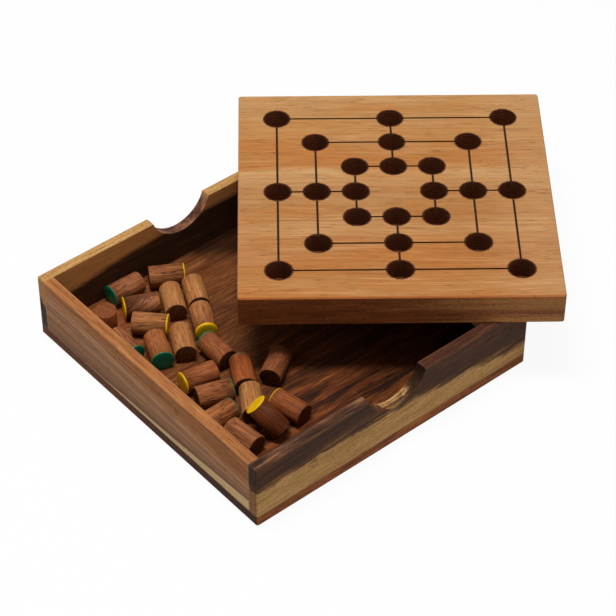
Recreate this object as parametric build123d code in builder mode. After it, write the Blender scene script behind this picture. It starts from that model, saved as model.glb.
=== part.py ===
from build123d import *
from math import cos, radians, sin
import os

# A nine mens morris box: a shallow tray, a drilled board that drops in as its lid, and loose pegs.
# Millimetres, +Z up. The origin is the centre of the tray's underside, and the two walls with
# thumb notches stand at the front (-Y) and back (+Y).

# Tray: a flat base panel with four walls glued on top of it
tray_side = 145.0
tray_height = 31.6
wall_thickness = 5.0
base_thickness = 5.2
corner_round = 1.0
edge_break = 0.4

# Thumb notches: one round cut through the top of the front wall and one through the back wall
notch_diameter = 31.2
notch_depth = 11.3

# Board: the lid and playing board, a loose fit between the tray walls
board_clearance = 0.8
board_thickness = 14.8
board_corner_round = 1.2
board_edge_break = 0.5

# Where the board lies when the box is open: flat across the rims, turned and slid to the right
board_turn = -39.1
board_setback = 0.5
board_offset_y = 5.1

# Peg holes and the burnt lines between them: three nested squares joined at their middles
square_count = 3
board_margin = 16.8
hole_diameter = 11.0
hole_depth = 9.0
line_width = 0.8
line_depth = 0.5

# Pegs: plain dowels with one end eased; the end left square is the one that is painted
peg_diameter = 9.5
peg_length = 15.5
peg_end_break = 0.4

# The pile: pegs lie a little clear of the base and of each other, on a grid of one peg's room.
# That room is the average of what a peg needs across and of a share of what it needs lengthways.
rest_gap = 0.2
peg_gap = 0.3
length_share = 0.62
lean_angle = 44.0

inner_side = tray_side - 2 * wall_thickness
wall_height = tray_height - base_thickness
board_side = inner_side - 2 * board_clearance
peg_radius = peg_diameter / 2
peg_room = (peg_diameter + peg_gap + (peg_length + peg_gap) * length_share) / 2

# Spots of the pegs in peg rooms, rightwards and forwards from the inner back left corner,
# with the compass heading of the painted end in degrees
green_spots = [
    (3.27, 0.55, 178),
    (5.45, 2.75, 64),
    (1.10, 3.41, -92),
    (2.08, 4.49, -113),
    (3.94, 6.13, 89),
    (3.90, 7.95, 60),
    (2.23, 8.10, -19),
    (1.51, 9.26, 0),
    (3.12, 9.49, 56),
    (0.60, 7.55, 84),
    (0.55, 11.34, 92),
]
yellow_spots = [
    (5.19, 1.01, -31),
    (3.17, 1.84, 154),
    (4.40, 2.50, 63),
    (2.76, 3.03, -46),
    (4.64, 4.31, -117),
    (3.14, 4.81, 62),
    (2.34, 6.93, 170),
    (5.26, 8.46, 33),
    (4.16, 10.74, 101),
    (1.60, 10.84, 96),
    (0.56, 5.48, 90),
]
standing_spot = (1.14, 2.05)
leaning_spot = (2.83, 10.94, 119)


def export_piece(piece, name):
    """Label a finished piece and write it to its own STEP file."""
    piece.part.label = name
    export_step(piece.part, f"parts/{name}.step")


def make_base_panel():
    """The flat base, full size, with its four upright corners and bottom edges eased."""
    with BuildPart() as base_panel:
        with BuildSketch():
            RectangleRounded(tray_side, tray_side, corner_round)
        extrude(amount=base_thickness)
        chamfer(base_panel.faces().sort_by(Axis.Z)[0].edges(), edge_break)
    export_piece(base_panel, "base_panel")


def make_notched_wall(name, outward):
    """A full-length wall with a thumb notch; outward is -1 for the front wall and 1 for the back."""
    outer_face = Plane.XZ.offset(-outward * tray_side / 2)
    with BuildPart() as notched_wall:
        with BuildSketch(outer_face):
            with Locations((0, base_thickness + wall_height / 2)):
                Rectangle(tray_side, wall_height)
            with Locations((0, tray_height - notch_depth + notch_diameter / 2)):
                Circle(notch_diameter / 2, mode=Mode.SUBTRACT)
        extrude(amount=outward * wall_thickness)
        outer_side = -1 if outward > 0 else 0
        fillet(notched_wall.edges().filter_by(Axis.Z).group_by(Axis.Y)[outer_side], corner_round)
        face_edges = notched_wall.faces().filter_by(Axis.Y).sort_by(Axis.Y)[outer_side].edges()
        rim_edges = face_edges.filter_by(Axis.X).group_by(Axis.Z)[-1]
        chamfer(rim_edges + face_edges.filter_by(GeomType.CIRCLE), edge_break)
    export_piece(notched_wall, name)


def make_plain_wall(name, side):
    """A shorter wall glued between the notched ones; side is -1 for the left wall and 1 for the right."""
    with BuildPart() as plain_wall:
        with BuildSketch(Plane.XY.offset(base_thickness)):
            with Locations((side * (tray_side - wall_thickness) / 2, 0)):
                Rectangle(wall_thickness, inner_side)
        extrude(amount=wall_height)
        top_edges = plain_wall.faces().sort_by(Axis.Z)[-1].edges().filter_by(Axis.Y)
        chamfer(top_edges.sort_by(Axis.X)[-1 if side > 0 else 0], edge_break)
    export_piece(plain_wall, name)


def make_game_board():
    """The playing board, lying turned across the rims, with blind peg holes and shallow lines."""
    hole_pitch = (board_side - 2 * board_margin) / (2 * square_count)
    half_sides = [hole_pitch * ring for ring in range(square_count, 0, -1)]
    steps = (-1, 0, 1)
    board_plane = Plane(
        origin=(inner_side / 2 - board_setback, board_offset_y, tray_height),
        x_dir=(cos(radians(board_turn)), sin(radians(board_turn)), 0),
        z_dir=(0, 0, 1),
    )
    top_plane = board_plane.offset(board_thickness)
    with BuildPart() as game_board:
        with BuildSketch(board_plane):
            RectangleRounded(board_side, board_side, board_corner_round)
        extrude(amount=board_thickness)
        flat_faces = game_board.faces().filter_by(Axis.Z)
        chamfer(flat_faces.edges(), board_edge_break)
        with BuildSketch(top_plane):
            for half_side in half_sides:
                Rectangle(2 * half_side + line_width, 2 * half_side + line_width)
                Rectangle(2 * half_side - line_width, 2 * half_side - line_width, mode=Mode.SUBTRACT)
            with PolarLocations((half_sides[0] + half_sides[-1]) / 2, 4):
                Rectangle(half_sides[0] - half_sides[-1], line_width)
        extrude(amount=-line_depth, mode=Mode.SUBTRACT)
        with Locations(top_plane):
            for half_side in half_sides:
                with Locations(*[(i * half_side, j * half_side) for i in steps for j in steps if i or j]):
                    Hole(hole_diameter / 2, hole_depth)
    export_piece(game_board, "game_board")


def make_peg(name, centre, heading, lean):
    """One peg: centre in the tray's frame, painted end towards heading and raised by lean degrees."""
    direction = Vector(
        cos(radians(heading)) * cos(radians(lean)),
        sin(radians(heading)) * cos(radians(lean)),
        sin(radians(lean)),
    )
    plain_end = Plane(origin=Vector(*centre) - direction * (peg_length / 2), z_dir=direction)
    with BuildPart() as peg:
        with BuildSketch(plain_end):
            Circle(peg_radius)
        extrude(amount=peg_length)
        end_faces = peg.faces().sort_by(Axis(plain_end.origin, direction))
        chamfer(end_faces[0].edges(), peg_end_break)
    export_piece(peg, name)


def peg_centre(right, forward, height):
    """A point given in peg rooms from the inner back left corner, at a height above the base."""
    return (
        right * peg_room - inner_side / 2,
        inner_side / 2 - forward * peg_room,
        base_thickness + rest_gap + height,
    )


os.makedirs("parts", exist_ok=True)

make_base_panel()
make_notched_wall("front_wall", -1)
make_notched_wall("back_wall", 1)
make_plain_wall("left_wall", -1)
make_plain_wall("right_wall", 1)
make_game_board()

for colour, spots in (("green", green_spots), ("yellow", yellow_spots)):
    for number, (right, forward, heading) in enumerate(spots, start=1):
        make_peg(f"{colour}_peg_{number:02d}", peg_centre(right, forward, peg_radius), heading, 0)

# One green peg stands on its painted end
standing_centre = peg_centre(*standing_spot, peg_length / 2)
make_peg(f"green_peg_{len(green_spots) + 1:02d}", standing_centre, 0, -90)

# One yellow peg leans with its painted end up on the peg behind it
leaning_rise = peg_radius * cos(radians(lean_angle)) + peg_length / 2 * sin(radians(lean_angle))
leaning_right, leaning_forward, leaning_heading = leaning_spot
leaning_centre = peg_centre(leaning_right, leaning_forward, leaning_rise)
make_peg(f"yellow_peg_{len(yellow_spots) + 1:02d}", leaning_centre, leaning_heading, lean_angle)
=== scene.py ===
import math
import random

import bmesh
import bpy
from mathutils import Matrix, Quaternion, Vector


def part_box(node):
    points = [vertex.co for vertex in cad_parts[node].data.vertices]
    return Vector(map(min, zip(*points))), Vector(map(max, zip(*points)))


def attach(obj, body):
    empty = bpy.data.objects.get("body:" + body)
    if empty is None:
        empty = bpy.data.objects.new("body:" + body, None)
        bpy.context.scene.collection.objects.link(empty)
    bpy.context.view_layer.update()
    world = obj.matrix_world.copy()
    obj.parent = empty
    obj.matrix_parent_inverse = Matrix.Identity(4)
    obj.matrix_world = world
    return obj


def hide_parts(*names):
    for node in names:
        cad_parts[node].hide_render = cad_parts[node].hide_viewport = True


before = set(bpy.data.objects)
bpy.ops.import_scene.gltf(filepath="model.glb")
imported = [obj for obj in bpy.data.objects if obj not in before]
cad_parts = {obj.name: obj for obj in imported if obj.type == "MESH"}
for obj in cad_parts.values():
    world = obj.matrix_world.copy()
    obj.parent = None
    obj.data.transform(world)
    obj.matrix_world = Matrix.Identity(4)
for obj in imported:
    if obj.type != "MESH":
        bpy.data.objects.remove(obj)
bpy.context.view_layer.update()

mm = 0.001
up, right, left = (0, 0, 1), (1, 0, 0), (-1, 0, 0)


def srgb(red, green, blue):  # 0 to 255 screen values to a linear colour
    def line(v):
        v /= 255
        return v / 12.92 if v <= 0.04045 else ((v + 0.055) / 1.055) ** 2.4
    return (line(red), line(green), line(blue), 1.0)


# camera
camera = {
    "azimuth": -40.357,
    "elevation": 42.890,
    "roll": 0.3176,
    "distance": 0.98448,
    "target": (0.013792, -0.000859, 0.0145),
    "lens": 136.324,
    "sensor": 36,
    "clip": (0.01, 20),
}


def makeCamera(look):
    data = bpy.data.cameras.new("camera")
    data.lens, data.sensor_width = look["lens"], look["sensor"]
    data.clip_start, data.clip_end = look["clip"]
    eye = bpy.data.objects.new("camera", data)
    turn, rise = math.radians(look["azimuth"]), math.radians(look["elevation"])
    back = Vector((math.sin(turn) * math.cos(rise), -math.cos(turn) * math.cos(rise), math.sin(rise)))
    eye.location = Vector(look["target"]) + back * look["distance"]
    eye.rotation_mode = "QUATERNION"
    roll = Matrix.Rotation(math.radians(look["roll"]), 4, "Z").to_quaternion()
    eye.rotation_quaternion = (-back).to_track_quat("-Z", "Y") @ roll
    bpy.context.scene.collection.objects.link(eye)
    bpy.context.scene.camera = eye


makeCamera(camera)
bpy.context.scene.view_settings.view_transform = "Standard"
print("camera made")


# shader building
class Wire:  # a node's output, so that shader maths reads as arithmetic
    def __init__(self, finish, socket):
        self.finish, self.socket = finish, socket

    def maths(self, operation, *others):
        inputs = dict(enumerate((self, *others)))
        return self.finish.add("ShaderNodeMath", {"operation": operation}, inputs)

    def __add__(self, other):
        return self.maths("ADD", other)

    def __sub__(self, other):
        return self.maths("SUBTRACT", other)

    def __mul__(self, other):
        return self.maths("MULTIPLY", other)

    def __truediv__(self, other):
        return self.maths("DIVIDE", other)

    def __rsub__(self, other):
        return self.finish.add("ShaderNodeMath", {"operation": "SUBTRACT"}, {0: other, 1: self})

    __radd__, __rmul__ = __add__, __mul__

    def __abs__(self):
        return self.maths("ABSOLUTE")

    def least(self, other):
        return self.maths("MINIMUM", other)

    def most(self, other):
        return self.maths("MAXIMUM", other)

    def fade(self, low, high):  # 0 below low, 1 above high, eased between; low may be the larger
        return self.finish.add(
            "ShaderNodeMapRange",
            {"interpolation_type": "SMOOTHSTEP", "clamp": True},
            {"Value": self, "From Min": low, "From Max": high},
        )

    def fadeFrom(self, place, ends):  # a fade with both ends measured from a place
        return self.fade(place + ends[0], place + ends[1])

    def spread(self, low, high):  # 0 to 1 becomes low to high
        return self * (high - low) + low


class Finish:  # one material and its nodes
    def __init__(self, name):
        self.material = bpy.data.materials.new(name)
        self.material.use_nodes = True
        self.tree = self.material.node_tree
        self.shader = self.tree.nodes["Principled BSDF"]

    def add(self, kind, settings, inputs, out=0):
        node = self.tree.nodes.new(kind)
        for key, value in settings.items():
            if key == "stops":
                self.setStops(node.color_ramp, value)
            else:
                setattr(node, key, value)
        for key, value in inputs.items():
            self.plug(node.inputs[key], value)
        return Wire(self, node.outputs[out])

    def plug(self, socket, value):
        if isinstance(value, Wire):
            self.tree.links.new(value.socket, socket)
        else:
            socket.default_value = value

    def setStops(self, ramp, stops):
        while len(ramp.elements) < len(stops):
            ramp.elements.new(1.0)
        for element, (place, colour) in zip(ramp.elements, stops):
            element.position, element.color = place, colour

    def local(self, centre, turn):  # the piece's own axes, x along the grain, in millimetres
        coords = self.add("ShaderNodeTexCoord", {}, {}, "Object")
        return self.add(
            "ShaderNodeMapping",
            {"vector_type": "TEXTURE"},
            {"Vector": coords, "Location": centre, "Rotation": (0, 0, turn), "Scale": (mm, mm, mm)},
        )

    def named(self, attribute):
        return self.add("ShaderNodeAttribute", {"attribute_name": attribute}, {}, "Vector")

    def facing(self, direction):  # how squarely the surface faces a direction, 1 to -1
        inputs = {0: self.add("ShaderNodeTexCoord", {}, {}, "Normal"), 1: direction}
        return self.add("ShaderNodeVectorMath", {"operation": "DOT_PRODUCT"}, inputs, "Value")

    def split(self, vector):
        return [self.add("ShaderNodeSeparateXYZ", {}, {"Vector": vector}, axis) for axis in "XYZ"]

    def join(self, x, y, z):
        return self.add("ShaderNodeCombineXYZ", {}, {"X": x, "Y": y, "Z": z})

    def noise(self, vector, scale, detail=2.0, roughness=0.5):
        scaled = self.add("ShaderNodeVectorMath", {"operation": "MULTIPLY"}, {0: vector, 1: scale})
        inputs = {"Vector": scaled, "Scale": 1.0, "Detail": detail, "Roughness": roughness}
        return self.add("ShaderNodeTexNoise", {"noise_dimensions": "3D"}, inputs)

    def noiseLine(self, value, scale, detail, roughness):
        inputs = {"W": value * scale, "Scale": 1.0, "Detail": detail, "Roughness": roughness}
        return self.add("ShaderNodeTexNoise", {"noise_dimensions": "1D"}, inputs)

    def ramp(self, value, stops):
        return self.add("ShaderNodeValToRGB", {"stops": stops}, {"Fac": value})

    def mix(self, factor, first, second, blend="MIX"):
        settings = {"data_type": "RGBA", "blend_type": blend, "clamp_factor": True}
        return self.add("ShaderNodeMix", settings, {0: factor, 6: first, 7: second}, 2)

    def shade(self, colour, factor):  # a colour made darker or lighter by a number
        grey = self.join(factor, factor, factor)
        return self.mix(1.0, colour, grey, "MULTIPLY")

    def bump(self, height, depth):
        inputs = {"Height": height, "Distance": depth, "Strength": 1.0}
        return self.add("ShaderNodeBump", {}, inputs, "Normal")

    def close(self, colour, roughness, normal, specular):
        self.plug(self.shader.inputs["Base Color"], colour)
        self.plug(self.shader.inputs["Roughness"], roughness)
        self.plug(self.shader.inputs["Normal"], normal)
        self.shader.inputs["Specular IOR Level"].default_value = specular
        return self.material


# timber: what every wood finish shares. Here and below, a noise is its waves to the millimetre, along
# the grain first, then its detail and roughness, and a fade is where it starts and where it is full
timber = {
    "sway": (0.012, 0.030, 0.030),
    "lift": (0.017, 0.04, 0.04),
    "ringDetail": (4.0, 0.65),
    "streakDetail": (4.0, 0.62),
    "dashDetail": (1.0, 0.5),
    "fibre": ((0.07, 1.7, 1.7), 3.0, 0.6),
    "fibreShade": (0.66, 1.34),
    "poreStreak": (0.32, 0.56),
    "endFade": (0.75, 0.95),
    "wearFade": (0.45, 0.0),
    "wearRagged": 0.8,
    "wearShare": 0.16,
    "wearPolish": 0.12,
    "roughness": (0.48, 0.68),
    "poreRoughness": 0.15,
    "specular": 0.07,
    "bumpDepth": 0.00010,
    "bumpFibre": 0.5,
    "bumpStreak": 0.4,
}


def grain(finish, place, habit, slant=0.0):
    # grain that wanders slowly, growth rings round a far pith, streaks, fibres and short open pores
    sway = finish.noise(place, timber["sway"]) - 0.5
    lift = finish.noise(place, timber["lift"]) - 0.5
    x, y, z = finish.split(place)
    bentY = y + sway * habit["wander"]
    bentZ = z + lift * habit["wander"] + x * slant
    bent = finish.join(x, bentY, bentZ)
    across, above = bentY - habit["pith"][0], bentZ - habit["pith"][1]
    ring = (across * across + above * above).maths("SQRT")
    return {
        "x": x, "y": y, "z": z, "sway": sway, "bent": bent,
        "bands": finish.noiseLine(ring, 1 / habit["pitch"], *timber["ringDetail"]),
        "streak": finish.noise(bent, habit["streak"], *timber["streakDetail"]),
        "fibre": finish.noise(bent, *timber["fibre"]),
        "dashes": finish.noise(bent, habit["dash"], *timber["dashDetail"]),
    }


def figure(parts, bands, streak, fibre):
    return parts["bands"] * bands + parts["streak"] * streak + parts["fibre"] * fibre


def lines(finish, parts, size, width):  # thin dark lines along the grain, 1 on the line
    return abs(finish.noise(parts["bent"], size) - 0.5).fade(width, 0.0)


def wear(parts, half):  # 1 along the outer edges of a box of these half sizes, ragged
    gaps = [h - abs(parts[axis]) for axis, h in zip("xyz", half)]
    smallest = gaps[0].least(gaps[1]).least(gaps[2])
    largest = gaps[0].most(gaps[1]).most(gaps[2])
    middleGap = gaps[0] + gaps[1] + gaps[2] - smallest - largest
    return (middleGap - parts["fibre"] * timber["wearRagged"]).fade(*timber["wearFade"])


def closeTimber(finish, parts, colour, look, poreShare, edges=None):  # fibres, pores and worn edges
    pores = parts["dashes"].fade(*look["poreFade"]) * parts["streak"].fade(*timber["poreStreak"])
    colour = finish.shade(colour, parts["fibre"].spread(*timber["fibreShade"]))
    colour = finish.mix(pores * poreShare, colour, look["pore"])
    sheen = look.get("sheen", 0.0)
    roughness = parts["fibre"].spread(*timber["roughness"]) + pores * timber["poreRoughness"] - sheen
    if edges is not None:
        colour = finish.mix(edges * timber["wearShare"], colour, look["worn"])
        roughness = roughness - edges * timber["wearPolish"]
    height = parts["fibre"] * timber["bumpFibre"] + parts["streak"] * timber["bumpStreak"] - pores
    normal = finish.bump(height, timber["bumpDepth"])
    return finish.close(colour, roughness, normal, timber["specular"] + sheen)


def setFinish(node, material):
    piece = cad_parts[node]
    piece.data.materials.clear()
    piece.data.materials.append(material)


def middle(node):
    low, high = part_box(node)
    return (low + high) / 2, (high - low) / mm


# playing board
board = {
    "turn": -39.1,
    "squares": 3,
    "holeSize": 11.0,
    "margin": 16.8,
    "roundedCorners": 0.6,
    "grain": {
        "wander": 5.0, "pitch": 4.0, "pith": (-20.0, -150.0),
        "streak": (0.016, 0.7, 0.7), "dash": (0.17, 1.6, 1.6),
    },
    # colours across its width
    "bands": [
        (0.00, srgb(182, 120, 66)), (0.06, srgb(182, 124, 70)), (0.14, srgb(179, 116, 62)),
        (0.22, srgb(178, 117, 65)), (0.32, srgb(184, 132, 80)), (0.42, srgb(176, 122, 70)),
        (0.50, srgb(181, 128, 77)), (0.565, srgb(194, 148, 96)), (0.60, srgb(202, 158, 106)),
        (0.63, srgb(182, 120, 64)), (0.74, srgb(182, 122, 66)), (0.82, srgb(192, 138, 82)),
        (0.92, srgb(186, 134, 80)), (1.00, srgb(200, 154, 100)),
    ],
    "bandSway": 14.0,
    # patches and streaks, livelier on the left
    "patch": ((0.020, 0.085, 0.085), 3.0, 0.55),
    "lively": (55.0, 0.0),
    "orange": srgb(188, 116, 58),
    "orangeFade": (0.50, 0.62),
    "orangeShare": (0.12, 0.40),
    "tan": srgb(196, 146, 98),
    "tanFade": (0.49, 0.38),
    "tanShare": 0.35,
    "tanRight": (28.0, 62.0),
    "tanRightShare": 0.6,
    "figure": (0.35, 0.65, 0.0),
    "streak": srgb(166, 98, 50),
    "streakFade": (0.52, 0.66),
    "streakShare": (0.26, 0.42),
    "light": srgb(222, 178, 126),
    "lightFade": (0.47, 0.36),
    "lightShare": 0.30,
    "thread": srgb(150, 82, 42),
    "threadLines": ((0.006, 0.34, 0.34), 0.022),
    "threadStreak": (0.44, 0.56),
    "threadShare": 0.45,
    "pore": srgb(136, 80, 42),
    "poreFade": (0.64, 0.72),
    "poreShare": 0.45,
    "worn": srgb(214, 164, 108),
    "unwornFront": (1.0, 2.0),
    # the layers seen on its edges, from the underside up, and specks on them
    "side": [
        (0.00, srgb(194, 135, 80)), (0.22, srgb(190, 128, 73)), (0.34, srgb(133, 75, 45)),
        (0.44, srgb(142, 83, 49)), (0.56, srgb(177, 120, 69)), (0.85, srgb(183, 124, 71)),
        (1.00, srgb(186, 104, 50)),
    ],
    "sideSway": 5.0,
    "sideFade": (0.85, 0.40),
    "sideShare": 0.85,
    "specks": ((0.55, 1.5, 1.5), 2.0),
    "speckFade": (0.50, 0.62),
    "speckShare": 0.32,
    "endDark": 0.40,
    # dark heartwood on the left of its front edge
    "heart": srgb(129, 69, 34),
    "frontFade": (0.4, 0.6),
    "heartWander": ((0.02, 0.3, 0.45), 3.0, 0.6),
    "heartSway": 130.0,
    "heartFade": (50.0, -14.0),
    "heartFigure": (0.0, 0.5, 0.5),
    "heartShade": (-0.1, 2.1),
    "heartShare": 0.93,
    # scorched rims and sides of the lines, in millimetres from the hole, the line, the top or the underside
    "scorch": srgb(54, 26, 14),
    "ragged": ((0.5, 1.6, 1.6), 2.0),
    "rimRagged": 0.9,
    "rimFade": (0.38, -0.10),
    "rimUnderside": (2.0, 3.0),
    "rimShare": 0.92,
    "besideFade": (0.65, 0.40),
    "besideTop": (-0.3, -0.1),
    "besideShare": 0.55,
    # what is cut into the top: burnt lines, and holes with marks of the drill and painted light on their
    # left
    "line": srgb(44, 28, 18),
    "lineEnd": 0.1,
    "burnt": srgb(106, 59, 36),
    "cutSide": (-8.0, -9.0),
    "cutTop": (-0.03, -0.12),
    "cutUnderside": (1.0, 2.0),
    "deepTop": (-0.55, -1.6),
    "holeWall": (0.15, 0.02),
    "drillMarks": 7.4,
    "drillRagged": 4.0,
    "drillShade": 0.45,
    "burntShade": (0.4, 1.4),
    "paintedLightLeft": (0.6, -1.1),
    "paintedLightLeftShade": (0.70, 1.9),
    # a redder line along the front of the top
    "brow": srgb(184, 106, 54),
    "browFront": (1.0, 0.5),
    "browTop": (-1.0, -0.6),
    "browShare": 0.75,
}


def patternGaps(parts, look, pitch):  # from the middle of the nearest peg hole, and of the nearest line
    squares, ease = look["squares"], look["lineEnd"]
    far = abs(parts["x"]).most(abs(parts["y"]))
    near = abs(parts["x"]).least(abs(parts["y"]))
    ringOut = (far / pitch).maths("ROUND").most(1.0).least(squares) * pitch
    gapFar, gapNear = far - ringOut, near.least(abs(near - ringOut))
    fromHole = (gapFar * gapFar + gapNear * gapNear).maths("SQRT")
    # the lines that cross the squares run from the inner one to the outer one
    outer = pitch * squares
    beyond = far.fade(pitch, pitch - ease) + far.fade(outer, outer + ease)
    return fromHole, abs(gapFar).least(near + beyond * pitch)


def boardTop(finish, parts, look, side):  # bands across the width, patches, streaks, pale flecks, threads
    across = (parts["y"] + parts["sway"] * look["bandSway"]) / side + 0.5
    colour = finish.ramp(across, look["bands"])
    patch = finish.noise(parts["bent"], *look["patch"])
    lively = parts["x"].fade(*look["lively"])
    orange = patch.fade(*look["orangeFade"]) * lively.spread(*look["orangeShare"])
    colour = finish.mix(orange, colour, look["orange"])
    tan = patch.fade(*look["tanFade"]) * look["tanShare"]
    tan = tan.most(parts["x"].fade(*look["tanRight"]) * look["tanRightShare"])
    colour = finish.mix(tan, colour, look["tan"])
    fine = figure(parts, *look["figure"])
    streak = fine.fade(*look["streakFade"]) * lively.spread(*look["streakShare"])
    colour = finish.mix(streak, colour, look["streak"])
    colour = finish.mix(fine.fade(*look["lightFade"]) * look["lightShare"], colour, look["light"])
    threads = lines(finish, parts, *look["threadLines"]) * parts["streak"].fade(*look["threadStreak"])
    return finish.mix(threads * look["threadShare"], colour, look["thread"])


def boardEdges(finish, parts, look, place, turn, thick, colour):
    # the edges show the layers of the wood, and the front one runs into dark heartwood on its left
    upright = abs(finish.facing(up)).fade(*look["sideFade"])
    layer = (parts["z"] + (parts["streak"] - 0.5) * look["sideSway"]) / thick + 0.5
    colour = finish.mix(upright * look["sideShare"], colour, finish.ramp(layer, look["side"]))
    front = finish.facing((math.sin(turn), -math.cos(turn), 0)).fade(*look["frontFade"])
    heartEdge = parts["x"] + (finish.noise(place, *look["heartWander"]) - 0.5) * look["heartSway"]
    heart = front * heartEdge.fade(*look["heartFade"])
    tone = figure(parts, *look["heartFigure"]).spread(*look["heartShade"])
    colour = finish.mix(heart * look["heartShare"], colour, finish.shade(look["heart"], tone))
    specks = finish.noise(place, *look["specks"]).fade(*look["speckFade"]) * upright
    colour = finish.mix(specks * look["speckShare"], colour, look["scorch"])
    endGrain = abs(finish.facing((math.cos(turn), math.sin(turn), 0))).fade(*timber["endFade"])
    return finish.shade(colour, 1 - endGrain * look["endDark"])


def boardPattern(finish, parts, look, place, side, top, colour):
    # scorched rims, burnt lines and burnt holes
    x, y, z = parts["x"], parts["y"], parts["z"]
    pitch = (side - 2 * look["margin"]) / (2 * look["squares"])
    radius = look["holeSize"] / 2
    fromHole, fromLine = patternGaps(parts, look, pitch)
    ragged = finish.noise(place, *look["ragged"])
    rim = (fromHole - ragged * look["rimRagged"]).fadeFrom(radius, look["rimFade"])
    rim = rim * z.fadeFrom(-top, look["rimUnderside"])
    colour = finish.mix(rim * look["rimShare"], colour, look["scorch"])
    beside = fromLine.fade(*look["besideFade"]) * z.fadeFrom(top, look["besideTop"])
    colour = finish.mix(beside * look["besideShare"], colour, look["scorch"])
    cut = abs(x).most(abs(y)).fadeFrom(side / 2, look["cutSide"])
    cut = cut * z.fadeFrom(top, look["cutTop"]) * z.fadeFrom(-top, look["cutUnderside"])
    deep = z.fadeFrom(top, look["deepTop"]).most(fromHole.fadeFrom(radius, look["holeWall"]))
    drilled = ((z + fromHole) * look["drillMarks"] + ragged * look["drillRagged"]).maths("SINE")
    fromMiddle = (x - (x / pitch).maths("ROUND") * pitch) / radius
    tone = drilled * look["drillShade"] + ragged.spread(*look["burntShade"])
    # painted light: each hole made lighter on its left
    tone = tone * fromMiddle.fade(*look["paintedLightLeft"]).spread(*look["paintedLightLeftShade"])
    burnt = finish.mix(deep, look["line"], finish.shade(look["burnt"], tone))
    return finish.mix(cut, colour, burnt)


def makeBoardFinish(look):
    centre, size = middle("game_board")
    turn = math.radians(look["turn"])
    side = size.x / (abs(math.cos(turn)) + abs(math.sin(turn))) + look["roundedCorners"]
    front, top = -side / 2, size.z / 2
    finish = Finish("boardWood")
    place = finish.local(centre, turn)
    parts = grain(finish, place, look["grain"])
    y, z = parts["y"], parts["z"]
    colour = boardTop(finish, parts, look, side)
    colour = boardEdges(finish, parts, look, place, turn, size.z, colour)
    colour = boardPattern(finish, parts, look, place, side, top, colour)
    brow = y.fadeFrom(front, look["browFront"]) * z.fadeFrom(top, look["browTop"])
    colour = finish.mix(brow * look["browShare"], colour, look["brow"])
    edges = wear(parts, (side / 2, side / 2, top)) * y.fadeFrom(front, look["unwornFront"])
    return closeTimber(finish, parts, colour, look, look["poreShare"], edges)


setFinish("game_board", makeBoardFinish(board))
print("board finished")


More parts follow.
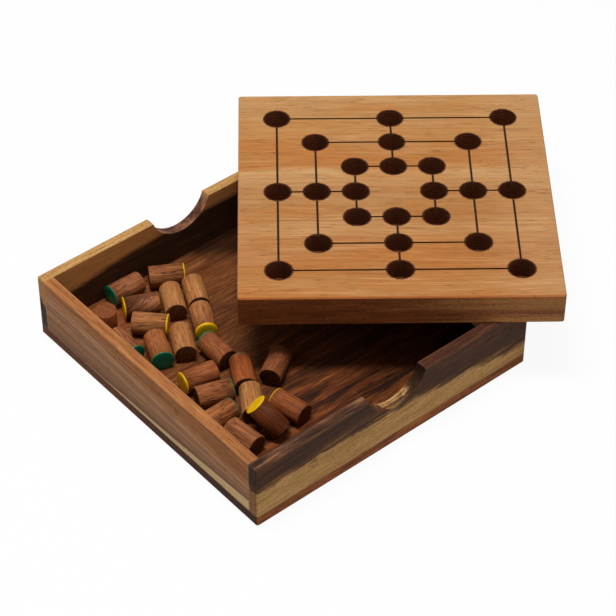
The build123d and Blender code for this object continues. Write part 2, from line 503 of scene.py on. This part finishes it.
# notched walls: dark heartwood with pale sapwood
notchedWalls = {
    "grain": {
        "wander": 6.0, "pitch": 3.0, "pith": (-35.0, -60.0),
        "streak": (0.022, 0.8, 0.8), "dash": (0.20, 1.7, 1.7),
    },
    "heart": [
        (0.36, srgb(56, 35, 24)), (0.47, srgb(76, 49, 33)), (0.56, srgb(90, 59, 39)),
        (0.66, srgb(112, 75, 47)),
    ],
    "heartFigure": (0.4, 0.45, 0.15),
    "cloud": srgb(64, 42, 28),
    "cloudNoise": ((0.05, 0.11, 0.11), 3.0, 0.55),
    "cloudFade": (0.44, 0.62),
    "cloudShare": 0.55,
    "sap": [(0.36, srgb(170, 122, 70)), (0.50, srgb(203, 155, 94)), (0.64, srgb(218, 174, 116))],
    "sapFigure": (0.3, 0.5, 0.2),
    "flecks": ((0.75, 1.2, 1.2), 2.0),
    "fleckFade": (0.48, 0.60),
    "fleckDark": 0.24,
    "lineWander": ((0.09, 0.5, 0.5), 4.0, 0.68),
    "lineRagged": 10.0,
    "pore": srgb(42, 26, 18),
    "poreFade": (0.58, 0.68),
    "poreShare": (0.45, 0.25),  # in heartwood, and in sapwood
    "worn": srgb(116, 80, 54),
    # front: a sharp line with gold strands above it
    "sharpLine": (-0.4, 0.6),
    "gold": srgb(188, 138, 80),
    "goldAbove": (5.0, 0.5),
    "goldStreak": (0.50, 0.58),
    "goldEdge": (2.6, 0.0),
    "goldEdgeShare": 0.5,
    "goldShare": 0.75,
    # front: a streaked rim, redder to the right
    "rim": [
        (0.42, srgb(50, 31, 24)), (0.50, srgb(82, 52, 38)), (0.55, srgb(97, 63, 45)),
        (0.63, srgb(150, 104, 70)),
    ],
    "rimFigure": (0.2, 0.8, 0.0),
    "rimHeight": (31.0, 31.3),
    "rimFacing": (0.6, 0.9),
    "rimRed": srgb(78, 42, 30),
    "rimRedRight": (-10.0, 20.0),
    "rimRedShare": 0.7,
    # front: a pale streak laid bare by the cut of the notch, and shade on its right flank
    "notch": srgb(204, 154, 96),
    "notchHeight": (24.0, 22.0),
    "notchFacing": (0.6, 0.8),
    "notchInner": (-0.6, 0.4),
    "notchMiddle": 2.0,
    "notchReach": (10.0, 7.0),
    "notchStreak": (0.30, 0.52),
    "notchShare": 0.9,
    "flankFacing": (0.35, 0.65),
    "flankRight": (5.0, 9.0),
    "flankDark": 0.6,
    # back: a soft line, warmer below the rim, and a brown notch
    "softRagged": 0.7,
    "softLine": (-2.2, 1.6),
    "warm": srgb(206, 145, 84),
    "warmFacing": (0.8, 0.2),
    "warmStreak": (0.50, 0.60),
    "warmStreakShare": 0.45,
    "warmShade": (0.6, 1.5),
    "cut": srgb(140, 94, 68),
    "cutFacing": (0.2, 0.5),
    "cutHeight": (30.8, 30.4),
    "cutPatch": ((0.16, 0.22, 0.22), 3.0, 0.6),
    "cutPatchFade": (0.36, 0.60),
    "cutShade": (0.28, 1.25),
    "cutShare": 0.85,
    # height of the sapwood line at mid-length, its slope and sag to the right, its climb towards the back,
    # how light the two woods are, partly painted light that makes the front wall lighter and the back wall
    # darker, the tint of the end grain, and the slant of the grain
    "front_wall": {
        "height": 18.1, "slope": -0.050, "sag": -0.00076, "climb": 0.2,
        "heartToneAndLight": 1.2, "sapToneAndLight": 1.219, "endTint": (0.48, 0.39, 0.37, 1.0), "slant": -0.07,
    },
    "back_wall": {
        "height": 27.4, "slope": 0.030, "sag": -0.00110, "climb": 1.0,
        "heartToneAndLight": 0.85, "sapToneAndLight": 0.9752, "endTint": (0.80, 0.86, 1.05, 1.0), "slant": 0.0,
    },
}


def frontWood(finish, parts, look, height, above, ragged, heart, sap):  # sapwood below the line
    x, streak, facingUp = parts["x"], parts["streak"], finish.facing(up)
    strands = above.fade(*look["goldAbove"]) * streak.fade(*look["goldStreak"])
    gold = strands.most(above.fade(*look["goldEdge"]) * look["goldEdgeShare"])
    heart = finish.mix(gold * look["goldShare"], heart, look["gold"])
    heartShare = above.fade(*look["sharpLine"])
    colour = finish.mix(heartShare, sap, heart)
    rim = height.fade(*look["rimHeight"]) * facingUp.fade(*look["rimFacing"])
    rimColour = finish.ramp(figure(parts, *look["rimFigure"]), look["rim"])
    rimColour = finish.mix(x.fade(*look["rimRedRight"]) * look["rimRedShare"], rimColour, look["rimRed"])
    colour = finish.mix(rim, colour, rimColour)
    bare = height.fade(*look["notchHeight"]) * facingUp.fade(*look["notchFacing"])
    bare = bare * (parts["y"] + ragged).fade(*look["notchInner"])
    bare = bare * (abs(x - look["notchMiddle"]) + ragged).fade(*look["notchReach"])
    bare = bare * streak.fade(*look["notchStreak"])
    colour = finish.mix(bare * look["notchShare"], colour, look["notch"])
    flank = finish.facing(left).fade(*look["flankFacing"]) * x.fade(*look["flankRight"])
    return finish.shade(colour, 1 - flank * look["flankDark"]), 1 - heartShare


def backWood(finish, parts, look, place, height, above, ragged, heart, sap):  # sapwood above the line
    streak, facingUp = parts["streak"], finish.facing(up)
    sapShare = (above - ragged * look["softRagged"]).fade(*look["softLine"])
    warm = facingUp.fade(*look["warmFacing"])
    warm = warm.most(streak.fade(*look["warmStreak"]) * look["warmStreakShare"])
    warmColour = finish.shade(look["warm"], streak.spread(*look["warmShade"]))
    colour = finish.mix(sapShare, heart, finish.mix(warm, sap, warmColour))
    cut = facingUp.fade(*look["cutFacing"]) * height.fade(*look["cutHeight"])
    patch = finish.noise(place, *look["cutPatch"]).fade(*look["cutPatchFade"])
    cutColour = finish.shade(look["cut"], patch.spread(*look["cutShade"]))
    return finish.mix(cut * look["cutShare"], colour, cutColour), sapShare


def makeWallFinish(name, node, look):
    centre, size = middle(node)
    wall = look[node]
    finish = Finish(name)
    place = finish.local(centre, 0.0)
    parts = grain(finish, place, look["grain"], wall["slant"])
    x, y = parts["x"], parts["y"]
    height = parts["z"] + centre.z / mm
    heart = finish.ramp(figure(parts, *look["heartFigure"]), look["heart"])
    cloud = finish.noise(place, *look["cloudNoise"]).fade(*look["cloudFade"]) * look["cloudShare"]
    # the tone of both woods is partly painted light: lighter on the front wall, darker on the back wall
    heart = finish.shade(finish.mix(cloud, heart, look["cloud"]), wall["heartToneAndLight"])
    flecks = finish.noise(place, *look["flecks"]).fade(*look["fleckFade"])
    sap = finish.ramp(figure(parts, *look["sapFigure"]), look["sap"])
    sap = finish.shade(sap, wall["sapToneAndLight"] - flecks * look["fleckDark"])
    ragged = (finish.noise(parts["bent"], *look["lineWander"]) - 0.5) * look["lineRagged"]
    line = x * wall["slope"] + x * x * wall["sag"] + y * wall["climb"] + wall["height"]
    above = height - line + ragged
    if node == "front_wall":
        colour, sapShare = frontWood(finish, parts, look, height, above, ragged, heart, sap)
    else:
        colour, sapShare = backWood(finish, parts, look, place, height, above, ragged, heart, sap)
    endGrain = abs(finish.facing(right)).fade(*timber["endFade"])
    colour = finish.mix(endGrain, colour, finish.mix(1.0, colour, wall["endTint"], "MULTIPLY"))
    edges = wear(parts, size / 2)
    return closeTimber(finish, parts, colour, look, sapShare.spread(*look["poreShare"]), edges)


for name, node in (("frontWallWood", "front_wall"), ("backWallWood", "back_wall")):
    setFinish(node, makeWallFinish(name, node, notchedWalls))
print("notched walls finished")


# plain walls: brown with darker lines, an orange upper part and a pale strip at the foot
plainWalls = {
    "grain": {
        "wander": 5.0, "pitch": 4.5, "pith": (-45.0, -25.0),
        "streak": (0.014, 0.55, 0.55), "dash": (0.20, 1.6, 1.6),
    },
    # height from the middle, and slope, of the top of the pale strip and the bottom of the orange part
    "lowLine": (-11.11, -0.055),
    "highLine": (6.16, 0.072),
    "lineSway": 4.0,
    # the layers seen from the lower line to the upper one
    "layers": [
        (0.00, srgb(120, 82, 59)), (0.12, srgb(146, 103, 74)), (0.28, srgb(172, 123, 86)),
        (0.35, srgb(150, 105, 75)), (0.41, srgb(180, 130, 91)), (0.52, srgb(182, 131, 92)),
        (0.57, srgb(154, 106, 76)), (0.61, srgb(184, 133, 95)), (0.65, srgb(148, 102, 74)),
        (0.70, srgb(194, 142, 100)), (0.84, srgb(200, 144, 100)), (0.88, srgb(162, 108, 74)),
        (0.92, srgb(192, 132, 86)),
    ],
    "layerSway": 0.13,
    "figure": (0.30, 0.40, 0.30),
    "brownShade": (0.38, 1.62),
    "orange": [(0.38, srgb(142, 84, 46)), (0.50, srgb(172, 110, 64)), (0.62, srgb(196, 132, 76))],
    "orangeFade": (0.92, 1.06),
    "pale": srgb(232, 194, 138),
    "paleFade": (0.04, -0.04),
    "pore": srgb(76, 44, 28),
    "poreFade": (0.60, 0.70),
    "poreShare": 0.40,
    "worn": srgb(186, 132, 88),
}


def makePlainWallFinish(name, node, look):
    centre, size = middle(node)
    finish = Finish(name)
    parts = grain(finish, finish.local(centre, math.pi / 2), look["grain"])
    low, high = (parts["x"] * slope + height for height, slope in (look["lowLine"], look["highLine"]))
    band = (parts["z"] + parts["sway"] * look["lineSway"] - low) / (high - low)
    mixed = figure(parts, *look["figure"])
    brown = finish.ramp(band + (parts["bands"] - 0.5) * look["layerSway"], look["layers"])
    brown = finish.shade(brown, mixed.spread(*look["brownShade"]))
    orange = finish.ramp(mixed, look["orange"])
    colour = finish.mix(band.fade(*look["orangeFade"]), brown, orange)
    colour = finish.mix(band.fade(*look["paleFade"]), colour, look["pale"])
    edges = wear(parts, (size.y / 2, size.x / 2, size.z / 2))
    return closeTimber(finish, parts, colour, look, look["poreShare"], edges)


for name, node in (("leftWallWood", "left_wall"), ("rightWallWood", "right_wall")):
    setFinish(node, makePlainWallFinish(name, node, plainWalls))
print("plain walls finished")


# base panel: a strongly figured floor
base = {
    "grain": {
        "wander": 9.0, "pitch": 3.2, "pith": (30.0, -70.0),
        "streak": (0.035, 0.75, 0.75), "dash": (0.22, 2.2, 2.2),
    },
    # calm at the back with a few long lines
    "calm": [(0.36, srgb(94, 51, 26)), (0.50, srgb(132, 78, 41)), (0.64, srgb(164, 106, 60))],
    "calmFigure": (0.4, 0.6, 0.0),
    "line": srgb(62, 30, 18),
    "calmLines": ((0.006, 0.20, 0.20), 0.030),
    "calmLineShare": 0.7,
    # a flame with dark bands towards the front
    "tones": [
        (0.37, srgb(52, 27, 16)), (0.46, srgb(88, 48, 26)), (0.53, srgb(121, 66, 34)),
        (0.60, srgb(150, 89, 47)), (0.68, srgb(190, 122, 67)),
    ],
    "toneFigure": (0.30, 0.30, 0.15),
    "flame": ((0.09, 0.85, 0.85), 3.0, 0.6),
    "flameShare": 0.25,
    "frontSway": 40.0,
    "frontFade": (20.0, -40.0),
    "toneShare": (0.25, 1.0),
    "bands": ((0.014, 0.16, 0.10), 3.0, 0.6),
    "dark": srgb(48, 27, 22),
    "darkFade": (0.48, 0.57),
    "darkShare": 0.8,
    "red": srgb(124, 58, 28),
    "redFade": (0.48, 0.38),
    "redShare": 0.35,
    # lighter to the left
    "leftFade": (0.0, -60.0),
    "leftShade": (0.92, 1.35),
    # painted shade for the shadow under the board and the back wall: dips in the middle, at the front right
    # and at the back right, lifted again along the front wall; the slope if it has one, one fade or two,
    # and how strong it is
    "footShadeLift": ((-48.0, -62.0), (-45.0, -20.0), 0.5),
    "middlePaintedShade": ((50.0, 14.0), (-24.0, 0.0), 0.32),
    "frontPaintedShade": (0.8, (26.0, 56.0), 0.42),
    "cornerPaintedShadow": (0.6, (58.0, 71.0), (-4.0, 8.0), 0.76),
    # the outer edge of the panel
    "outer": (72.0, 72.4),
    "outerShare": 0.9,
    "edge": srgb(180, 106, 60),
    "edgeShade": (0.2, 1.8),
    "edgeLines": ((0.008, 0.30, 0.30), 0.040),
    "edgeLineShare": 0.6,
    "endSway": 30.0,
    "endFront": (40.0, -50.0),
    "endDark": (0.62, 0.86),
    "pore": srgb(36, 20, 14),
    "poreFade": (0.58, 0.68),
    "poreShare": 0.55,
    "worn": srgb(150, 98, 62),
}


def floorToneAndPaintedShade(x, y, look):
    light = x.fade(*look["leftFade"]).spread(*look["leftShade"])
    # painted shade: lifted along the front wall, then dips in the middle, at the front right and at the
    # back right
    toFront, toRight, share = look["footShadeLift"]
    light = light + y.fade(*toFront) * x.fade(*toRight) * share
    toFront, toBack, share = look["middlePaintedShade"]
    light = light - y.fade(*toFront) * y.fade(*toBack) * share
    slope, toCorner, share = look["frontPaintedShade"]
    light = light - (x * slope - y).fade(*toCorner) * share
    slope, toCorner, toRight, share = look["cornerPaintedShadow"]
    return light - (x * slope + y).fade(*toCorner) * x.fade(*toRight) * share


def makeBaseFinish(look):
    centre, size = middle("base_panel")
    finish = Finish("baseWood")
    parts = grain(finish, finish.local(centre, 0.0), look["grain"])
    x, y = parts["x"], parts["y"]
    calm = finish.ramp(figure(parts, *look["calmFigure"]), look["calm"])
    calm = finish.mix(lines(finish, parts, *look["calmLines"]) * look["calmLineShare"], calm, look["line"])
    flame = finish.noise(parts["bent"], *look["flame"]) * look["flameShare"]
    lively = finish.ramp(figure(parts, *look["toneFigure"]) + flame, look["tones"])
    nearFront = (y + parts["sway"] * look["frontSway"]).fade(*look["frontFade"])
    colour = finish.mix(nearFront.spread(*look["toneShare"]), calm, lively)
    bands = finish.noise(parts["bent"], *look["bands"])
    colour = finish.mix(bands.fade(*look["darkFade"]) * nearFront * look["darkShare"], colour, look["dark"])
    colour = finish.mix(bands.fade(*look["redFade"]) * look["redShare"], colour, look["red"])
    colour = finish.shade(colour, floorToneAndPaintedShade(x, y, look))
    outer = abs(x).most(abs(y)).fade(*look["outer"])
    rim = finish.shade(look["edge"], parts["streak"].spread(*look["edgeShade"]))
    rim = finish.mix(lines(finish, parts, *look["edgeLines"]) * look["edgeLineShare"], rim, look["line"])
    colour = finish.mix(outer * look["outerShare"], colour, rim)
    endGrain = abs(finish.facing(right)).fade(*timber["endFade"])
    endDark = (y + parts["sway"] * look["endSway"]).fade(*look["endFront"]).spread(*look["endDark"])
    colour = finish.shade(colour, 1 - endGrain * endDark)
    return closeTimber(finish, parts, colour, look, look["poreShare"], wear(parts, size / 2) * outer)


setFinish("base_panel", makeBaseFinish(base))
print("base finished")


# pegs: turned dowels with one painted end
peg = {
    "seed": 7,
    "segments": 56,
    # the eased plain end: in from the side and up from the end, in shares of the break
    "plainBreak": 0.40,
    "plainCurve": ((1.6, 0.0), (0.7, 0.18), (0.2, 0.6), (0.0, 1.5)),
    # a thin coat stays inside the rim of the painted end, in millimetres in from it and down from the top
    "rimBreak": 0.30,
    "rimDrop": 0.05,
    "thinDepth": 0.22,
    "thinInset": 0.45,
    "thinEdge": ((0.0, 0.06), (0.12, 0.02)),
    # a thick coat rolls over the edge, with a rippled hem
    "capProud": 0.08,
    "hem": 0.2,
    "roll": 0.55,
    "rollAngles": (0.5, 1.0, 1.4),
    "rollDrop": 0.02,
    "ripple": (3, 0.07),
    "rippleFrom": 0.8,
    "crown": (0.55, 0.01),
    "green": srgb(12, 112, 80),
    "yellow": srgb(240, 188, 4),
    "paintCloud": ((0.30, 0.30, 0.30), 3.0),
    "paintGrit": ((1.8, 1.8, 1.8), 2.0),
    "paintShade": (0.72, 1.28),
    "paintRoughness": (0.28, 0.46),
    "paintBump": 0.00010,
    "paintSpecular": 0.22,
    # where in the timber a peg is cut from, how far the grain runs off its axis, and the grain
    "cutFrom": ((0, 900), (8, 26), (-22, 22)),
    "tilt": 0.08,
    "slanted": {"yellow_peg_02": 0.6, "green_peg_04": 0.15},
    "grain": {
        "wander": 3.0, "pitch": 1.8, "pith": (0.0, 0.0),
        "streak": (0.11, 1.0, 1.0), "dash": (0.28, 1.5, 1.5),
    },
    "figure": (0.15, 0.35, 0.30),
    "figureLift": 0.10,
    "light": [(0.36, srgb(152, 93, 50)), (0.50, srgb(184, 123, 70)), (0.64, srgb(204, 144, 86))],
    "brown": [(0.36, srgb(109, 64, 40)), (0.50, srgb(155, 99, 63)), (0.64, srgb(183, 125, 81))],
    "red": [(0.36, srgb(108, 46, 20)), (0.50, srgb(158, 81, 39)), (0.64, srgb(190, 104, 50))],
    "toBrown": (0.0, 0.55),
    "toDark": (0.5, 1.0),
    "dark": 0.68,
    "ribbon": srgb(78, 42, 32),
    "ribbonNoise": ((0.03, 0.22, 0.22), 2.0),
    "ribbonFade": (0.50, 0.57),
    "ribbonFrom": 0.25,
    "cracks": ((0.06, 0.55, 0.55), 0.060),
    "crackStreak": (0.40, 0.50),
    "crackStripe": (0.0, 0.36),
    "crackShare": 0.85,
    "pore": srgb(70, 36, 22),
    "poreFade": (0.59, 0.67),
    "poreShare": 0.48,
    "sheen": 0.03,
    # end grain, darker and redder, with painted light on an end that faces up and painted shade on an end
    # that faces left
    "end": srgb(126, 66, 38),
    "endShare": 0.65,
    "endRings": (0.40, 0.60),
    "endShade": (0.36, 0.46),
    "endUp": (0.3, 0.9),
    "endUpPaintedLight": 0.45,
    "endLeft": (0.4, 0.9),
    "endLeftPaintedShade": 0.24,
    # each peg's darkness at its plain and painted ends, redness and stripe, all 0 to 1, and how far
    # its coat of paint rolls over the edge in millimetres, 0 when it stays inside
    "green_peg_01": (0.44, 0.44, 0.30, 0.3, 0.55), "green_peg_02": (0.05, 0.05, 0.15, 0.1, 0),
    "green_peg_03": (0.45, 0.45, 0.30, 0.2, 0.70), "green_peg_04": (0.37, 0.31, 0.85, 0.1, 0.55),
    "green_peg_05": (0.58, 0.54, 0.50, 0.1, 0.95), "green_peg_06": (0.44, 0.52, 1.00, 0.1, 0.25),
    "green_peg_07": (0.44, 0.44, 0.45, 0.4, 0.45), "green_peg_08": (0.30, 0.36, 0.70, 0.3, 0.40),
    "green_peg_09": (0.10, 0.10, 0.60, 0.1, 0), "green_peg_10": (0.50, 0.45, 0.40, 0.3, 0.60),
    "green_peg_11": (0.30, 0.30, 0.40, 0.2, 0.60), "green_peg_12": (0.34, 0.50, 0.90, 0.1, 0),
    "yellow_peg_01": (0.46, 0.42, 0.40, 0.35, 0.45), "yellow_peg_02": (0.30, 0.95, 0.20, 0.8, 0.55),
    "yellow_peg_03": (0.05, 0.05, 0.20, 0.1, 0), "yellow_peg_04": (0.30, 0.22, 0.45, 0.2, 0.60),
    "yellow_peg_05": (0.18, 0.34, 0.50, 0.15, 1.05), "yellow_peg_06": (0.16, 0.16, 0.35, 0.0, 0),
    # yellow_peg_08 is darker partly as painted shade for the board's shadow across it, and yellow_peg_09's
    # darker plain end is painted shade
    "yellow_peg_07": (0.52, 0.52, 0.65, 0.25, 0.70), "yellow_peg_08": (0.71, 0.75, 0.50, 0.0, 0),
    "yellow_peg_09": (0.74, 0.47, 0.70, 0.1, 0.40), "yellow_peg_10": (0.50, 0.46, 0.25, 0.25, 0),
    "yellow_peg_11": (0.30, 0.30, 0.40, 0.2, 0.60), "yellow_peg_12": (0.95, 1.00, 1.00, 0.0, 0.35),
}


def pegWood(name, look, endGrain):
    finish = Finish(name)
    darkness, redness, stripe = finish.split(finish.named("tone"))
    parts = grain(finish, finish.named("grain"), look["grain"])
    mixed = figure(parts, *look["figure"]) + look["figureLift"]
    light, brown, red = (finish.ramp(mixed, look[key]) for key in ("light", "brown", "red"))
    colour = finish.mix(darkness.fade(*look["toBrown"]), light, finish.mix(redness, brown, red))
    colour = finish.shade(colour, 1 - darkness.fade(*look["toDark"]) * look["dark"])
    ribbon = finish.noise(parts["bent"], *look["ribbonNoise"]).fade(*look["ribbonFade"])
    ribbon = ribbon * (stripe - look["ribbonFrom"])
    cracks = lines(finish, parts, *look["cracks"]) * parts["streak"].fade(*look["crackStreak"])
    cracks = cracks * stripe.fade(*look["crackStripe"]) * look["crackShare"]
    colour = finish.mix(ribbon.most(cracks), colour, look["ribbon"])
    if endGrain:
        tone = parts["bands"].fade(*look["endRings"]).spread(*look["endShade"])
        # painted light on an end that faces up, and painted shade on one that faces left
        tone = tone + finish.facing(up).fade(*look["endUp"]) * look["endUpPaintedLight"]
        tone = tone - finish.facing(left).fade(*look["endLeft"]) * look["endLeftPaintedShade"]
        colour = finish.shade(finish.mix(look["endShare"], colour, look["end"]), tone)
    return closeTimber(finish, parts, colour, look, look["poreShare"])


def pegPaint(name, look, colour):
    finish = Finish(name)
    place = finish.named("grain")
    cloud, grit = finish.noise(place, *look["paintCloud"]), finish.noise(place, *look["paintGrit"])
    tint = finish.shade(colour, cloud.spread(*look["paintShade"]))
    normal = finish.bump(grit, look["paintBump"])
    return finish.close(tint, cloud.spread(*look["paintRoughness"]), normal, look["paintSpecular"])


def pegPlace(node):
    # the eased end of the solid is plain, so the widest flat face is the painted one
    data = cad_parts[node].data
    flats = {}
    for face in data.polygons:
        way = tuple(round(c, 2) for c in face.normal)
        flats[way] = flats.get(way, 0.0) + face.area
    axis = Vector(max(flats, key=flats.get)).normalized()
    side = axis.orthogonal().normalized()
    axes = (side, axis.cross(side), axis)
    spans = [[v.co.dot(a) for v in data.vertices] for a in axes]
    centre = sum((a * (min(s) + max(s)) / 2 for a, s in zip(axes, spans)), Vector())
    place = Matrix.Translation(centre) @ Matrix(axes).transposed().to_4x4()
    return place, (max(spans[0]) - min(spans[0])) / 2, max(spans[2]) - min(spans[2])


def turned(profile, segments):  # a shape turned about z from (radius, height) pairs
    bm = bmesh.new()
    verts = [bm.verts.new((r, 0, z)) for r, z in profile]
    edges = [bm.edges.new(pair) for pair in zip(verts, verts[1:])]
    spin = {"cent": (0, 0, 0), "axis": up, "angle": 2 * math.pi, "steps": segments, "use_merge": True}
    bmesh.ops.spin(bm, geom=verts + edges, **spin)
    bmesh.ops.remove_doubles(bm, verts=bm.verts, dist=1e-6)
    for face in bm.faces:
        face.smooth = True
    return bm


def finishPeg(bm, name, node, place, materials, look, cut):
    offset, tilt, length = cut
    grainLayer = bm.verts.layers.float_vector.new("grain")
    toneLayer = bm.verts.layers.float_vector.new("tone")
    plainEnd, paintedEnd, redness, stripe = look[node][:4]
    for v in bm.verts:
        x, y, along = v.co / mm
        v[grainLayer] = (along + offset[0], x + along * tilt + offset[1], y + offset[2])
        v[toneLayer] = (plainEnd + (paintedEnd - plainEnd) * (v.co.z / length + 0.5), redness, stripe)
    bmesh.ops.transform(bm, matrix=place, verts=bm.verts)
    bmesh.ops.recalc_face_normals(bm, faces=bm.faces)
    mesh = bpy.data.meshes.new(name)
    bm.to_mesh(mesh)
    bm.free()
    for material in materials:
        mesh.materials.append(material)
    piece = bpy.data.objects.new(name, mesh)
    bpy.context.scene.collection.objects.link(piece)
    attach(piece, node)
    node.split("_")[0] + "_peg_wood"
    return piece


def pegBody(look, radius, top, depth, rolled):
    # the wood: an eased plain end, a straight side, and a square end under the paint
    bottom, shoulder, ease = -top, top - depth, look["plainBreak"] * mm
    profile = [(0, bottom)]
    profile += [(radius - ease * inward, bottom + ease * rise) for inward, rise in look["plainCurve"]]
    if rolled:
        profile += [(radius, shoulder)]
    else:
        rimBreak, rim = look["rimBreak"] * mm, top - look["rimDrop"] * mm
        inset = radius - look["thinInset"] * mm
        profile += [(radius, top - rimBreak), (radius - rimBreak, rim), (inset, rim), (inset, shoulder)]
    bm = turned(profile + [(0, shoulder)], look["segments"])
    for face in bm.faces:
        plainEnd = all(v.co.z < bottom + ease / 2 for v in face.verts)
        paintedEnd = all(v.co.z > top - (look["rimBreak"] + 0.01) * mm for v in face.verts)
        face.material_index = 1 if plainEnd or paintedEnd else 0
    return bm


def pegCoat(look, radius, top, depth, rolled, turn):
    # the paint: a thick coat that rolls over the edge, or a thin one that stays inside it
    shoulder, roll = top - depth, depth * look["roll"]
    if rolled:
        proud = radius + look["capProud"] * mm
        profile = [(0, shoulder), (radius, shoulder), (proud, shoulder + depth * look["hem"])]
        profile += [(proud, top - roll)]
        for angle in look["rollAngles"]:
            inward, drop = roll * (1 - math.cos(angle)), roll * (1 - math.sin(angle))
            profile += [(proud - inward, top - drop - look["rollDrop"] * mm)]
    else:
        inset = radius - look["thinInset"] * mm
        profile = [(0, shoulder), (inset, shoulder)]
        profile += [(inset - inward * mm, top - drop * mm) for inward, drop in look["thinEdge"]]
    crownShare, crownDrop = look["crown"]
    bm = turned(profile + [(radius * crownShare, top - crownDrop * mm), (0, top)], look["segments"])
    waves, height = look["ripple"]
    for v in bm.verts:
        if rolled and v.co.z < top - roll and v.co.xy.length > radius * look["rippleFrom"]:
            v.co.z += math.sin(waves * math.atan2(v.co.y, v.co.x) + turn) * height * depth
    return bm


def makePeg(node, look, woods, paint, rand):
    place, radius, length = pegPlace(node)
    turn = rand.uniform(0, 2 * math.pi)
    place = place @ Matrix.Rotation(turn, 4, "Z")
    offset = [rand.uniform(*reach) for reach in look["cutFrom"]]
    tilt = look["slanted"].get(node, rand.uniform(-look["tilt"], look["tilt"]))
    cut = (offset, tilt, length)
    rolled = look[node][4] > 0
    depth = (look[node][4] if rolled else look["thinDepth"]) * mm
    bm = pegBody(look, radius, length / 2, depth, rolled)
    body = finishPeg(bm, node + ".body", node, place, woods, look, cut)
    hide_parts(node)
    bm = pegCoat(look, radius, length / 2, depth, rolled, turn)
    finishPeg(bm, node + ".paint", node, place, [paint], look, cut)


rand = random.Random(peg["seed"])
woods = [pegWood("pegSide", peg, False), pegWood("pegEnd", peg, True)]
paints = {name: pegPaint(name + "Paint", peg, peg[name]) for name in ("green", "yellow")}
for node in sorted(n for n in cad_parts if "_peg_" in n):
    makePeg(node, peg, woods, paints[node.split("_")[0]], rand)
print("pegs made")


# studio
studio = {
    "ambient": 0.25,
    "keyPower": 7.7,
    "keySize": (0.50, 0.22),
    "keyTurn": 50.0,
    "keyPlace": (-0.10, 0.03, 1.0),
    "floorSide": 6.0,
    "floorWhite": 0.58,
    "floorSeen": 0.96,
    "floorGlow": 0.93,
    "floorRoughness": 0.9,
}


def makeBackdrop(look):  # white where it is seen, and a dimmer light on everything else
    world = bpy.data.worlds.new("studio")
    world.use_nodes = True
    bpy.context.scene.world = world
    nodes, links = world.node_tree.nodes, world.node_tree.links
    path, seen = nodes.new("ShaderNodeLightPath"), nodes.new("ShaderNodeMath")
    seenToo, strength = nodes.new("ShaderNodeMath"), nodes.new("ShaderNodeMapRange")
    seen.operation = seenToo.operation = "MAXIMUM"
    links.new(path.outputs["Is Camera Ray"], seen.inputs[0])
    links.new(path.outputs["Is Glossy Ray"], seen.inputs[1])
    links.new(seen.outputs[0], seenToo.inputs[0])
    links.new(path.outputs["Is Transmission Ray"], seenToo.inputs[1])
    links.new(seenToo.outputs[0], strength.inputs["Value"])
    strength.inputs["To Min"].default_value = look["ambient"]
    strength.inputs["To Max"].default_value = 1.0
    back = nodes["Background"]
    back.inputs["Color"].default_value = (1, 1, 1, 1)
    links.new(strength.outputs[0], back.inputs["Strength"])


def makeKey(look):
    data = bpy.data.lights.new("key", "AREA")
    data.shape, data.energy = "ELLIPSE", look["keyPower"]
    data.size, data.size_y = look["keySize"]
    key = bpy.data.objects.new("key", data)
    key.location = look["keyPlace"]
    aim = (-Vector(look["keyPlace"])).to_track_quat("-Z", "Y")
    key.rotation_euler = (aim @ Quaternion(up, math.radians(look["keyTurn"]))).to_euler()
    bpy.context.scene.collection.objects.link(key)


def makeFloor(look):
    bm = bmesh.new()
    bmesh.ops.create_grid(bm, x_segments=1, y_segments=1, size=look["floorSide"] / 2)
    mesh = bpy.data.meshes.new("floor")
    bm.to_mesh(mesh)
    bm.free()
    floor = bpy.data.objects.new("floor", mesh)
    bpy.context.scene.collection.objects.link(floor)
    finish = Finish("floorPaper")
    kinds = ("Camera", "Glossy", "Transmission")
    rays = [finish.add("ShaderNodeLightPath", {}, {}, f"Is {kind} Ray") for kind in kinds]
    seen = rays[0].most(rays[1]).most(rays[2])
    white = seen.spread(look["floorWhite"], look["floorSeen"])
    finish.plug(finish.shader.inputs["Base Color"], finish.join(white, white, white))
    finish.shader.inputs["Roughness"].default_value = look["floorRoughness"]
    finish.shader.inputs["Specular IOR Level"].default_value = 0.0
    glow = finish.add("ShaderNodeEmission", {}, {"Color": (1, 1, 1, 1), "Strength": 1.0})
    paper = Wire(finish, finish.shader.outputs[0])
    paperSeen = finish.add("ShaderNodeMixShader", {}, {0: seen * look["floorGlow"], 1: paper, 2: glow})
    finish.plug(finish.tree.nodes["Material Output"].inputs["Surface"], paperSeen)
    mesh.materials.append(finish.material)


makeBackdrop(studio)
makeKey(studio)
makeFloor(studio)
print("studio made")
